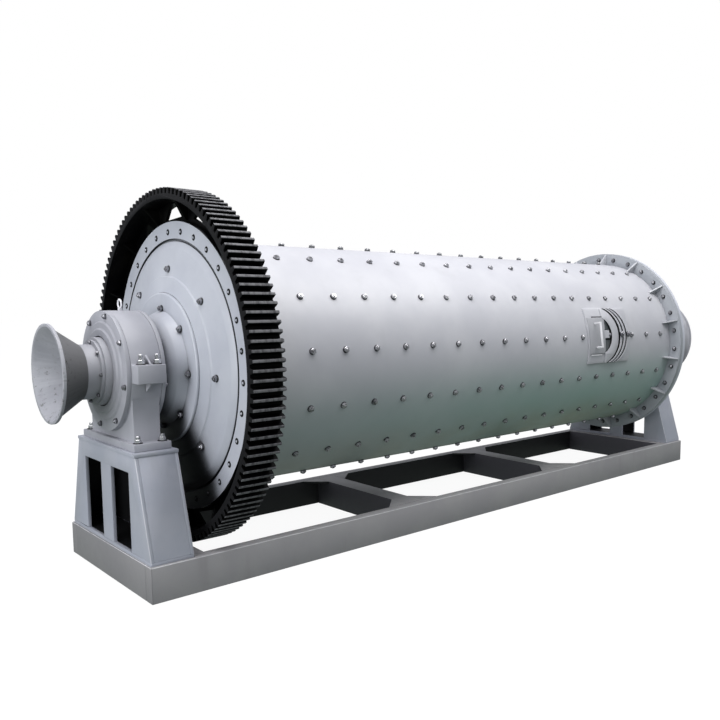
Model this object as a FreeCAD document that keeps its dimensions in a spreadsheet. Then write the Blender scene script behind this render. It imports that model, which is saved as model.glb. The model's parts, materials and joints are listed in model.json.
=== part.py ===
import FreeCAD, Part
import math
import os

import Sketcher
from FreeCAD import Placement, Rotation, Vector

# Ball mill, 1500 mm bore by 4500 mm long, on a welded base frame.
# +X runs along the drum axis from the feed end to the discharge end, +Z is up and -Y is
# the side of the manhole.  The origin is on the ground, under the middle of the drum.

doc = FreeCAD.newDocument("ball_mill")
dims = doc.addObject("Spreadsheet::Sheet", "dims")

# name, value in mm (or a count, or degrees), what it is
SIZES = [
    ("shell_bore", 1500, "inside diameter of the drum shell"),
    ("shell_wall", 14, "plate of the drum shell"),
    ("shell_length", 4500, "length of the drum shell between its flange faces"),
    ("axis_height", 1210, "height of the drum axis above the ground"),
    ("flange_width", 111, "how far a shell flange stands out from the shell"),
    ("flange_plate", 40, "thickness of the shell flanges and head flanges"),
    ("flange_rib_length", 105, "length of a flange rib along the shell"),
    ("flange_rib_plate", 12, "thickness of a flange rib"),
    ("flange_ribs", 15, "ribs behind the discharge flange"),
    ("drum_turn", 9, "degrees from the top to the first flange bolt hole"),
    ("gear_module", 16, "module of the girth gear"),
    ("gear_teeth", 131, "teeth of the girth gear"),
    ("gear_face", 196, "face width of the girth gear"),
    ("gear_overhang", 122, "from the middle plate of the gear to its open edge"),
    ("gear_rim", 31, "thickness of the gear rim under the teeth"),
    ("gear_plate", 20, "thickness of the gear's middle plate"),
    ("gear_lip", 30, "flange edge to the foot of the gear's windows"),
    ("gear_arms", 15, "arms of the gear, with a window between each two"),
    ("gear_rib", 14, "thickness of the rib on each gear arm"),
    ("gear_rib_reach", 86, "how far the rib stands out from the middle plate, at the rim"),
    ("gear_bite", 2, "how far the middle plate and its ribs run into the rim"),
    ("gear_fillet", 8, "top of a window to the inside of the rim"),
    ("tooth_root", 0.62, "share of the pitch that a tooth fills at its root"),
    ("tooth_middle", 0.5, "share of the pitch that a tooth fills at the pitch circle"),
    ("tooth_tip", 0.27, "share of the pitch that a tooth fills at its tip"),
    ("window_foot", 0.58, "share of an arm's pitch that a window fills at its foot"),
    ("window_top", 0.14, "share of an arm's pitch that a window fills at its top"),
    ("head_plate", 55, "thickness of the cast heads"),
    ("groove_place", 9, "outside of the shell to the groove inside a head flange"),
    ("groove_width", 16, "width of the groove inside a head flange"),
    ("groove_depth", 16, "depth of the groove inside a head flange"),
    ("head_crown", 75, "rise of the head at its outer step"),
    ("head_edge", 42, "width of the rounded edge of the head inside the groove"),
    ("edge_drop", 15, "how far the head falls back at that edge"),
    ("head_round", 24, "rounding of the head's outer edge"),
    ("cast_round", 7, "rounding of the smaller edges of the heads"),
    ("head_rise", 108, "rise of the head at the trunnion flange"),
    ("step_one", 0.8293, "radius where the rounded edge of the head ends, as a share of the bore's"),
    ("step_two", 0.736, "radius of the raised step of the head, as a share of the bore's"),
    ("step_height", 9, "height of each of the two raised steps of the head"),
    ("step_slope", 8, "width of the slope between those steps"),
    ("trunnion_flange", 0.6, "radius of the trunnion flange, as a share of the bore's"),
    ("trunnion_lap", 2, "how far the head stands out round the trunnion flange"),
    ("trunnion_plate", 30, "thickness of the trunnion flange"),
    ("trunnion_face", 125, "head seat to the outer face of the trunnion flange"),
    ("trunnion_round", 12, "rounding of the trunnion flange's edge"),
    ("flare_root", 340, "radius where the flare of the trunnion starts"),
    ("flare_bend", 316, "radius of the bend in the flare"),
    ("flare_bend_place", 54, "trunnion flange to the bend in the flare"),
    ("flare_round", 40, "rounding of that bend"),
    ("cover_round", 4, "rounding of a bearing cover's edges"),
    ("journal", 258, "radius of the trunnion journal"),
    ("trunnion_bore", 190, "radius of the bore through the trunnion"),
    ("journal_gap", 0.08, "running clearance between journal and bearing, on the radius"),
    ("journal_end_gap", 8, "clearance between the journal's end and the outer cover"),
    ("seal_gap", 6, "clearance between a bearing cover and what turns in it"),
    ("bearing_offset", 387, "shell flange face to the middle of the bearing"),
    ("housing_radius", 345, "radius of the bearing housing"),
    ("housing_depth", 175, "depth of the bearing housing without its covers"),
    ("cover_plate", 23, "thickness of a bearing cover"),
    ("cover_boss", 277, "radius of the raised boss of a bearing cover"),
    ("cover_boss_height", 18, "height of the raised boss of a bearing cover"),
    ("cover_slope", 9, "width of the sloping shoulders of that boss"),
    ("cover_ring", 238, "radius of the inner step of the boss"),
    ("housing_leg", 316, "half width of the lower housing"),
    ("leg_depth", 152, "depth of the lower housing under its ears"),
    ("ear_width", 420, "half width of the housing over its ears"),
    ("ear_height", 52, "height of an ear above or below the split"),
    ("ear_depth", 160, "depth of the ears"),
    ("sole_length", 390, "half length of the housing's foot"),
    ("sole_depth", 212, "depth of the housing's foot"),
    ("sole_height", 43, "height of the housing's foot"),
    ("housing_drop", 425, "drum axis down to the underside of the housing's foot"),
    ("pedestal_depth", 245, "depth of a pedestal along the mill"),
    ("pedestal_foot", 590, "half width of a pedestal at its foot"),
    ("pedestal_top", 430, "half width of a pedestal at its top"),
    ("pedestal_plate", 20, "plate of the pedestals"),
    ("window_inner", 76, "middle of the pedestal to a window"),
    ("window_outer", 334, "middle of the pedestal to the far side of a window"),
    ("window_head", 95, "pedestal top to the top of a window"),
    ("window_sill", 2, "foot plate to the lower edge of a window"),
    ("cap_overhang", 4, "how far a pedestal's top plate stands out"),
    ("base_width", 1220, "width over the side beams"),
    ("beam_height", 200, "height of the base beams"),
    ("beam_width", 80, "width of the side and end beams"),
    ("cross_width", 150, "width of the cross beams"),
    ("cross_inset", 131, "middle of the bearing to the cross beam next to it"),
    ("base_margin", 10, "pedestal to the end of the base"),
    ("gusset_leg", 150, "leg of a corner gusset"),
    ("gusset_plate", 16, "thickness of a corner gusset"),
    ("neck_ring", 195, "radius of the ring that closes the trunnion"),
    ("neck_ring_length", 35, "length of that ring outside the bearing cover"),
    ("neck", 156, "radius of the neck of a funnel"),
    ("neck_flange", 180, "radius of the flange that bolts a funnel to that ring"),
    ("neck_plate", 16, "thickness of that flange"),
    ("neck_length", 82, "length of the neck of a funnel with its flange"),
    ("funnel_wall", 12, "wall of the funnels"),
    ("feed_mouth", 272, "radius of the feed funnel's mouth"),
    ("feed_cone", 168, "length of the feed funnel's cone"),
    ("discharge_mouth", 409, "radius of the discharge cone's mouth"),
    ("discharge_cone", 402, "length of the discharge cone"),
    ("lip_width", 16, "width of the rolled lip at a funnel's mouth"),
    ("lip_height", 5, "how far the lip stands out"),
    ("manhole_place", 1202, "middle of the drum to the middle of the manhole plate"),
    ("manhole_turn", 81.6, "degrees from the top to the middle of the manhole"),
    ("manhole_length", 597, "length of the manhole plate along the drum"),
    ("manhole_width", 462, "width of the manhole plate across the drum"),
    ("manhole_plate", 12, "thickness of the manhole plate"),
    ("ring_back", 117, "manhole plate's middle back to the middle of the flat band"),
    ("ring_radius", 240, "outer radius of the flat band and of the curved bars beside it"),
    ("ring_height", 10, "height of the flat band over the manhole plate"),
    ("ring_hole", 155, "radius of the manhole"),
    ("hole_back", 129, "manhole plate's middle back to the middle of the manhole"),
    ("bar_width", 27, "width of a curved bar along the drum"),
    ("bar_gap", 22, "gap beside a curved bar along the drum"),
    ("bar_height", 16, "height of the curved bars over the manhole plate"),
    ("bars", 3, "curved bars beside the flat band"),
    ("door_back", 75, "manhole plate's middle back to the edge of the door by the band"),
    ("door_length", 215, "length of the manhole door along the drum"),
    ("door_width", 306, "width of the manhole door across the drum"),
    ("door_height", 8, "thickness of the manhole door"),
    ("handle_length", 216, "length of the door handle"),
    ("handle_back", 210, "manhole plate's middle back to the handle"),
    ("handle_rise", 60, "height of the handle over the door"),
    ("handle_bar", 14, "thickness of the handle's bar"),
    ("eye_radius", 25, "middle radius of a lifting eye"),
    ("eye_bar", 5, "bar radius of a lifting eye"),
    ("eye_stem", 8, "housing to the underside of a lifting eye's ring"),
    ("eye_block", 18, "side of the square block under a lifting eye"),
]

for row, (name, value, meaning) in enumerate(SIZES, start=1):
    dims.set(f"A{row}", name)
    dims.set(f"B{row}", str(value))
    dims.setAlias(f"B{row}", name)
    dims.set(f"C{row}", meaning)
doc.recompute()

ALONG_X = Rotation(Vector(0, 1, 0), 90)
parts = []

# Places that several pieces share, as formulas on the sheet.
SHELL_OUT = "(dims.shell_bore / 2 + dims.shell_wall)"
SHELL_HALF = "dims.shell_length / 2"
FLANGE_OUT = "(dims.shell_bore / 2 + dims.shell_wall + dims.flange_width)"
BEARING = "(dims.shell_length / 2 + dims.bearing_offset)"
HOUSING_END = f"({BEARING} + dims.housing_depth / 2)"
COVER_END = f"({BEARING} + dims.housing_depth / 2 + dims.cover_plate)"
JOURNAL_END = f"({BEARING} + dims.housing_depth / 2 - dims.journal_end_gap)"
BOSS_END = f"({COVER_END} + dims.cover_boss_height)"
RING_END = f"({BOSS_END} + dims.neck_ring_length)"
NECK_END = f"({RING_END} + dims.neck_length)"
PEDESTAL_TOP = "(dims.axis_height - dims.housing_drop)"
BASE_HALF = f"({BEARING} + dims.pedestal_depth / 2 + dims.base_margin)"
STEP_ONE = "(dims.step_one * dims.shell_bore / 2)"
STEP_TWO = "(dims.step_two * dims.shell_bore / 2)"
TRUNNION_FLANGE = "(dims.trunnion_flange * dims.shell_bore / 2)"
GEAR_TIP = "((dims.gear_teeth + 2) * dims.gear_module / 2)"
GEAR_ROOT = "((dims.gear_teeth - 2.5) * dims.gear_module / 2)"
GEAR_INSIDE = f"({GEAR_ROOT} - dims.gear_rim)"
GEAR_MIDDLE = "(dims.shell_length / 2 + dims.gear_plate)"
MANHOLE_OUT = "(dims.shell_bore / 2 + dims.shell_wall + dims.manhole_plate)"


def value_of(formula):
    """The value, in mm, of a formula on the sheet."""
    result = dims.evalExpression(formula)
    return float(getattr(result, "Value", result))


def bind(thing, **formulas):
    """Tie properties to formulas; a double underscore stands for a dot."""
    for name, formula in formulas.items():
        thing.setExpression(name.replace("__", "."), formula)
    return thing


def at(thing, x="0", y="0", z="0"):
    """Tie a piece's place to formulas."""
    return bind(thing, Placement__Base__x=x, Placement__Base__y=y, Placement__Base__z=z)


def block(name, length, width, height, x, y, z):
    """A box with its low corner at x, y, z."""
    box = doc.addObject("Part::Box", name)
    bind(box, Length=length, Width=width, Height=height)
    return at(box, x, y, z)


def round_bar(name, radius, length, start):
    """A cylinder along X, on the line y = z = 0."""
    bar = doc.addObject("Part::Cylinder", name)
    bar.Placement = Placement(Vector(), ALONG_X)
    bind(bar, Radius=radius, Height=length)
    return at(bar, start)


def join(name, pieces):
    """One solid from pieces that touch or overlap."""
    joined = doc.addObject("Part::MultiFuse", name)
    joined.Shapes = pieces
    joined.Refine = True
    return joined


def cut(name, base, tools):
    """The base with the tools taken out of it."""
    tool = tools[0] if len(tools) == 1 else join(name + "_tools", tools)
    result = doc.addObject("Part::Cut", name)
    result.Base = base
    result.Tool = tool
    return result


def overlap(name, first, second):
    """What two solids share."""
    result = doc.addObject("Part::Common", name)
    result.Base = first
    result.Tool = second
    return result


def ring(name, outer, inner, start, length):
    """A plain ring along X."""
    rim = round_bar(name + "_rim", outer, length, start)
    hole = round_bar(name + "_hole", inner, length, start)
    return cut(name, rim, [hole])


def closed_sketch(body, plane, corners, loops=()):
    """A sketch of closed outlines whose corners are pairs of formulas."""
    sketch = body.newObject("Sketcher::SketchObject", body.Name + "_outline")
    origin = [item for item in body.Origin.OriginFeatures if item.Role == plane]
    sketch.AttachmentSupport = [(origin[0], "")]
    sketch.MapMode = "FlatFace"
    for outline in (corners, *loops):
        first = len(sketch.Geometry)
        points = [Vector(value_of(a), value_of(b), 0) for a, b in outline]
        count = len(points)
        for index, point in enumerate(points):
            sketch.addGeometry(Part.LineSegment(point, points[(index + 1) % count]), False)
        for index in range(count):
            this, following = first + index, first + (index + 1) % count
            sketch.addConstraint(Sketcher.Constraint("Coincident", this, 2, following, 1))
        for index, (a, b) in enumerate(outline):
            for kind, formula, value in (("DistanceX", a, points[index].x),
                                         ("DistanceY", b, points[index].y)):
                number = sketch.addConstraint(
                    Sketcher.Constraint(kind, -1, 1, first + index, 1, value))
                sketch.setExpression(f"Constraints[{number}]", formula)
    return sketch


def turned(name, corners):
    """A body turned about X; its corners are pairs of x and radius."""
    body = doc.addObject("PartDesign::Body", name)
    sketch = closed_sketch(body, "XZ_Plane", corners)
    turn = body.newObject("PartDesign::Revolution", name + "_turn")
    turn.Profile = sketch
    turn.ReferenceAxis = (sketch, ["H_Axis"])
    turn.Angle = 360
    doc.recompute()
    return body


def plate(name, corners, thickness, loops=()):
    """A flat plate of an outline in Y and Z, thick along +X from x = 0."""
    body = doc.addObject("PartDesign::Body", name)
    sketch = closed_sketch(body, "YZ_Plane", corners, loops)
    pad = body.newObject("PartDesign::Pad", name + "_pad")
    pad.Profile = sketch
    pad.setExpression("Length", thickness)
    doc.recompute()
    return body


def rounded(body, size, *radii):
    """Rounds a turned body's circular edges of the given radii, by a size on the sheet."""
    tip, wanted = body.Tip, [value_of(radius) for radius in radii]
    edges = []
    for number, edge in enumerate(tip.Shape.Edges, start=1):
        radius = getattr(edge.Curve, "Radius", 0)
        if any(abs(radius - value) < 0.01 for value in wanted):
            edges.append(f"Edge{number}")
    fillet = body.newObject("PartDesign::Fillet", body.Name + "_round")
    fillet.Base = (tip, edges)
    fillet.setExpression("Radius", size)
    body.Tip = fillet
    doc.recompute()
    return body


def keep(thing, turn=0, **place):
    """Makes a finished object a sub-part of the mill, turned about X and then placed."""
    thing.Label = thing.Name
    if turn:
        thing.Placement = Placement(Vector(), Rotation(Vector(1, 0, 0), turn))
    at(thing, **place)
    parts.append(thing)
    return thing


def on_drum(thing):
    """A sub-part that turns with the drum, modelled about the X axis."""
    return keep(thing, z="dims.axis_height")


# ---------------------------------------------------------------- base frame

def base_frame():
    """The welded rectangle of beams with its cross beams and corner gussets."""
    half = "dims.base_width / 2"
    width, height = "dims.beam_width", "dims.beam_height"
    keep(block("side_beam_near", f"2 * {BASE_HALF}", width, height, "0", "0", "0"),
         x=f"-{BASE_HALF}", y=f"-{half}")
    keep(block("side_beam_far", f"2 * {BASE_HALF}", width, height, "0", "0", "0"),
         x=f"-{BASE_HALF}", y=f"{half} - {width}")
    between = f"(dims.base_width - 2 * {width})"
    keep(block("end_beam_feed", width, between, height, "0", "0", "0"),
         x=f"-{BASE_HALF}", y=f"-{between} / 2")
    keep(block("end_beam_discharge", width, between, height, "0", "0", "0"),
         x=f"{BASE_HALF} - {width}", y=f"-{between} / 2")
    cross = f"({BEARING} - dims.cross_inset)"
    places = [f"-{cross}", f"-{cross} / 3", f"{cross} / 3", cross]
    for number, place in enumerate(places, start=1):
        keep(block(f"cross_beam_{number}", "dims.cross_width", between, height, "0", "0", "0"),
             x=f"{place} - dims.cross_width / 2", y=f"-{between} / 2")
    corner_gussets(places)


def corner_gussets(places):
    """Flat triangles in the corners of side beams and cross beams, flush with the top."""
    leg, thick = value_of("dims.gusset_leg"), value_of("dims.gusset_plate")
    inside = value_of("dims.base_width / 2 - dims.beam_width")
    half = value_of("dims.cross_width / 2")
    top = value_of("dims.beam_height")
    solids = []
    for place in places[1:3]:
        for way in (-1, 1):
            for side in (-1, 1):
                x = value_of(place) + way * half
                y = side * inside
                corners = [Vector(x, y, top - thick), Vector(x + way * leg, y, top - thick),
                           Vector(x, y - side * leg, top - thick)]
                face = Part.Face(Part.makePolygon(corners + corners[:1]))
                solids.append(face.extrude(Vector(0, 0, thick)))
    gussets = doc.addObject("Part::Feature", "corner_gussets")
    gussets.Shape = Part.makeCompound(solids)
    gussets.Placement = Placement()
    keep(gussets)


# ----------------------------------------------------------------- pedestals

def pedestal(end, sign):
    """A tapered welded box with two windows; the feed one is closed towards the drum."""
    wall = "dims.pedestal_plate"
    low = f"(dims.beam_height + {wall})"
    high = f"({PEDESTAL_TOP} - {wall})"
    foot, top = "dims.pedestal_foot", "dims.pedestal_top"
    outline = [(f"-{foot}", low), (foot, low), (top, high), (f"-{top}", high)]
    head = f"({high} - dims.window_head)"
    sill = f"({low} + dims.window_sill)"
    windows = []
    for near, far in (("dims.window_inner", "dims.window_outer"),
                      ("-dims.window_outer", "-dims.window_inner")):
        windows.append([(near, sill), (far, sill), (far, head), (near, head)])
    half = "dims.pedestal_depth / 2"
    middle = f"{sign} * {BEARING}"
    outer = f"{middle} + {sign} * {half}" + (f" - {wall}" if sign > 0 else "")
    inner = f"{middle} - {sign} * {half}" + (f" - {wall}" if sign < 0 else "")
    keep(plate(f"{end}_pedestal_outer_plate", outline, wall, windows), x=outer)
    keep(plate(f"{end}_pedestal_inner_plate", outline, wall, windows if end == "discharge" else ()),
         x=inner)
    between = f"(dims.pedestal_depth - 2 * {wall})"
    outside = plate(f"{end}_pedestal_prism", outline, between)
    opening = [(f"-({foot} - {wall})", low), (f"{foot} - {wall}", low),
               (f"{top} - {wall}", high), (f"-({top} - {wall})", high)]
    inside = plate(f"{end}_pedestal_hollow", opening, between)
    keep(cut(f"{end}_pedestal_side_plates", outside, [inside]), x=f"{middle} - {between} / 2")
    keep(block(f"{end}_pedestal_foot_plate", "dims.pedestal_depth", f"2 * {foot}", wall,
               "0", "0", "0"),
         x=f"{middle} - {half}", y=f"-{foot}", z="dims.beam_height")
    wide = f"(2 * {top} + 2 * dims.cap_overhang)"
    deep = "(dims.pedestal_depth + 2 * dims.cap_overhang)"
    keep(block(f"{end}_pedestal_cap_plate", deep, wide, wall, "0", "0", "0"),
         x=f"{middle} - {deep} / 2", y=f"-{wide} / 2", z=high)


# ------------------------------------------------------------------ bearings

def bearing(end, sign):
    """A housing split at the axis, with a round cover at each side."""
    depth, radius = "dims.housing_depth", "dims.housing_radius"
    start = f"-{depth} / 2"
    bore = "(dims.journal + dims.journal_gap)"
    middle = f"{sign} * {BEARING}"
    for half, side in (("cap", 1), ("base", -1)):
        name = f"{end}_bearing_{half}"
        barrel = round_bar(name + "_barrel", radius, depth, start)
        ears = block(name + "_ears", "dims.ear_depth", "2 * dims.ear_width", "dims.ear_height",
                     "-dims.ear_depth / 2", "-dims.ear_width",
                     "0" if side > 0 else "-dims.ear_height")
        solids = [barrel, ears]
        if side < 0:
            leg = "(dims.housing_drop - dims.sole_height)"
            solids.append(block(name + "_leg", "dims.leg_depth", "2 * dims.housing_leg", leg,
                                "-dims.leg_depth / 2", "-dims.housing_leg", f"-{leg}"))
            solids.append(block(name + "_sole", "dims.sole_depth", "2 * dims.sole_length",
                                "dims.sole_height", "-dims.sole_depth / 2",
                                "-dims.sole_length", "-dims.housing_drop"))
        joined = join(name + "_casting", solids)
        keep_box = block(name + "_half", "2 * dims.sole_depth", "4 * dims.sole_length",
                         "2 * dims.housing_drop", "-dims.sole_depth", "-2 * dims.sole_length",
                         "0" if side > 0 else "-2 * dims.housing_drop")
        casting = overlap(name + "_split", joined, keep_box)
        hole = round_bar(name + "_bore", bore, f"2 * {depth}", f"-{depth}")
        keep(cut(name, casting, [hole]), x=middle, z="dims.axis_height")
    outer_cover(end, sign)
    inner_cover(end, sign)


def outer_cover(end, sign):
    """The cover at the open end of the journal, with its stepped boss."""
    hole = "(dims.neck_ring + dims.seal_gap)"
    step = f"({COVER_END} + dims.cover_boss_height / 2)"
    corners = [(HOUSING_END, hole), (HOUSING_END, "dims.housing_radius"),
               (COVER_END, "dims.housing_radius"),
               (COVER_END, "(dims.cover_boss + dims.cover_slope)"), (step, "dims.cover_boss"),
               (step, "(dims.cover_ring + dims.cover_slope)"), (BOSS_END, "dims.cover_ring"),
               (BOSS_END, hole)]
    corners = [(f"{sign} * {x}", radius) for x, radius in corners]
    body = turned(f"{end}_bearing_outer_cover", corners)
    rounded(body, "dims.cover_round", "dims.cover_boss", "dims.cover_ring")
    keep(body, z="dims.axis_height")


def inner_cover(end, sign):
    """The cover on the drum side of the bearing."""
    start = f"({BEARING} - dims.housing_depth / 2 - dims.cover_plate)"
    place = f"{sign} * {start}" if sign > 0 else f"-{start} - dims.cover_plate"
    keep(ring(f"{end}_bearing_inner_cover", "dims.housing_radius",
              "(dims.journal + dims.seal_gap)", place, "dims.cover_plate"),
         z="dims.axis_height")


def lifting_eyes():
    """An eye on the crown of each bearing housing."""
    eyes = []
    for end, sign in (("feed", -1), ("discharge", 1)):
        eye = doc.addObject("Part::Torus", f"{end}_eye_ring")
        eye.Placement = Placement(Vector(), ALONG_X)
        bind(eye, Radius1="dims.eye_radius", Radius2="dims.eye_bar")
        crown = "(dims.axis_height + dims.housing_radius)"
        at(eye, f"{sign} * {BEARING}", "0",
           f"{crown} + dims.eye_stem + dims.eye_bar + dims.eye_radius")
        stem = block(f"{end}_eye_stem", "dims.eye_block", "dims.eye_block",
                     "(dims.eye_stem + dims.eye_bar)", f"{sign} * {BEARING} - dims.eye_block / 2",
                     "-dims.eye_block / 2", crown)
        eyes.append(join(f"{end}_lifting_eye", [eye, stem]))
    pair = doc.addObject("Part::Compound", "lifting_eyes")
    pair.Links = eyes
    keep(pair)


# ---------------------------------------------------------------------- drum

def shell():
    """The drum shell, its two flanges and the ribs behind the discharge flange."""
    on_drum(ring("drum_shell", SHELL_OUT, "dims.shell_bore / 2", f"-{SHELL_HALF}",
                 "dims.shell_length"))
    on_drum(ring("feed_shell_flange", FLANGE_OUT, SHELL_OUT, f"-{SHELL_HALF}",
                 "dims.flange_plate"))
    on_drum(ring("discharge_shell_flange", FLANGE_OUT, SHELL_OUT,
                 f"{SHELL_HALF} - dims.flange_plate", "dims.flange_plate"))
    flange_ribs()


def flange_ribs():
    """Radial gussets between the shell and the discharge flange, clear of the bolts."""
    face = value_of(f"{SHELL_HALF} - dims.flange_plate")
    thick = toe = value_of("dims.flange_rib_plate")
    low, high = value_of(SHELL_OUT), value_of(f"{FLANGE_OUT} - dims.flange_rib_plate / 2")
    length, inside = value_of("dims.flange_rib_length"), value_of("dims.shell_bore / 2")
    count = int(value_of("dims.flange_ribs"))
    corners = [Vector(face, -thick / 2, inside), Vector(face, -thick / 2, high),
               Vector(face - toe, -thick / 2, high), Vector(face - length, -thick / 2, low + toe),
               Vector(face - length, -thick / 2, inside)]
    blank = Part.Face(Part.makePolygon(corners + corners[:1])).extrude(Vector(0, thick, 0))
    drum = Part.makeCylinder(low, 2 * length, Vector(face - 1.5 * length, 0, 0), Vector(1, 0, 0))
    rib = blank.cut(drum)
    half_pitch = 90 / count
    turn = value_of("dims.drum_turn") - half_pitch
    ribs = []
    for number in range(count):
        copy = rib.copy()
        copy.rotate(Vector(), Vector(1, 0, 0), turn + number * 360 / count)
        ribs.append(copy)
    feature = doc.addObject("Part::Feature", "discharge_flange_ribs")
    feature.Shape = Part.makeCompound(ribs)
    on_drum(feature)


def head(end, sign, seat):
    """A cast head: a flange, a groove, a rounded edge and raised steps."""
    flange = f"({seat} + dims.flange_plate)"
    rim = f"({SHELL_OUT} + dims.groove_place)"
    groove = f"({rim} - dims.groove_width)"
    crown = f"({seat} + dims.head_crown)"
    under = f"({seat} + dims.trunnion_face - dims.trunnion_plate)"
    edge, lap = f"({groove} - dims.head_edge)", f"({TRUNNION_FLANGE} + dims.trunnion_lap)"
    profile = [
        (seat, FLANGE_OUT),
        (flange, FLANGE_OUT),
        (flange, rim),
        (f"({flange} - dims.groove_depth)", rim),
        (f"({flange} - dims.groove_depth)", groove),
        (flange, groove),
        (f"({crown} - dims.edge_drop)", edge),
        (crown, STEP_ONE),
        (f"({crown} + dims.step_height)", STEP_TWO),
        (f"({crown} + 2 * dims.step_height)", f"({STEP_TWO} - dims.step_slope)"),
        (f"({seat} + dims.head_rise)", lap),
        (under, lap),
        (under, "dims.trunnion_bore"),
        (f"({under} - dims.head_plate)", "dims.trunnion_bore"),
        (f"({under} - dims.head_plate)", TRUNNION_FLANGE),
        (seat, "(dims.shell_bore / 2)"),
    ]
    body = turned(f"{end}_head", [(f"{sign} * {x}", radius) for x, radius in profile])
    rounded(body, "dims.head_round", edge, STEP_ONE)
    on_drum(rounded(body, "dims.cast_round", groove, STEP_TWO))


def trunnion(end, sign, seat):
    """The hollow journal with the flange that bolts it to the head."""
    face = f"({seat} + dims.trunnion_face)"
    flare_end = f"({BEARING} - dims.housing_depth / 2 - dims.cover_plate - dims.seal_gap)"
    profile = [
        (f"({face} - dims.trunnion_plate)", "dims.trunnion_bore"),
        (f"({face} - dims.trunnion_plate)", TRUNNION_FLANGE),
        (face, TRUNNION_FLANGE),
        (face, "dims.flare_root"),
        (f"({face} + dims.flare_bend_place)", "dims.flare_bend"),
        (flare_end, "dims.journal"),
        (JOURNAL_END, "dims.journal"),
        (JOURNAL_END, "dims.trunnion_bore"),
    ]
    body = turned(f"{end}_trunnion", [(f"{sign} * {x}", radius) for x, radius in profile])
    rounded(body, "dims.flare_round", "dims.flare_bend")
    on_drum(rounded(body, "dims.trunnion_round", TRUNNION_FLANGE))


def funnel(end, sign, mouth, cone):
    """The ring that closes the trunnion and the funnel bolted to it."""
    wall, lip = "dims.funnel_wall", "dims.lip_width"
    inside = f"(dims.neck - {wall})"
    ring_profile = [(JOURNAL_END, inside), (JOURNAL_END, "dims.neck_ring"),
                    (RING_END, "dims.neck_ring"), (RING_END, inside)]
    on_drum(turned(f"{end}_neck_ring", [(f"{sign} * {x}", radius) for x, radius in ring_profile]))
    mouth_end = f"({NECK_END} + {cone})"
    lean = f"(({mouth} - dims.neck) / {cone})"
    lip_start = f"({mouth_end} - {lip})"
    profile = [
        (RING_END, inside),
        (RING_END, "dims.neck_flange"),
        (f"({RING_END} + dims.neck_plate)", "dims.neck_flange"),
        (f"({RING_END} + dims.neck_plate)", "dims.neck"),
        (NECK_END, "dims.neck"),
        (lip_start, f"({mouth} - {lip} * {lean})"),
        (lip_start, f"({mouth} + dims.lip_height)"),
        (mouth_end, f"({mouth} + dims.lip_height)"),
        (mouth_end, f"({mouth} - {wall})"),
        (NECK_END, inside),
    ]
    on_drum(turned(f"{end}_funnel", [(f"{sign} * {x}", radius) for x, radius in profile]))


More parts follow.
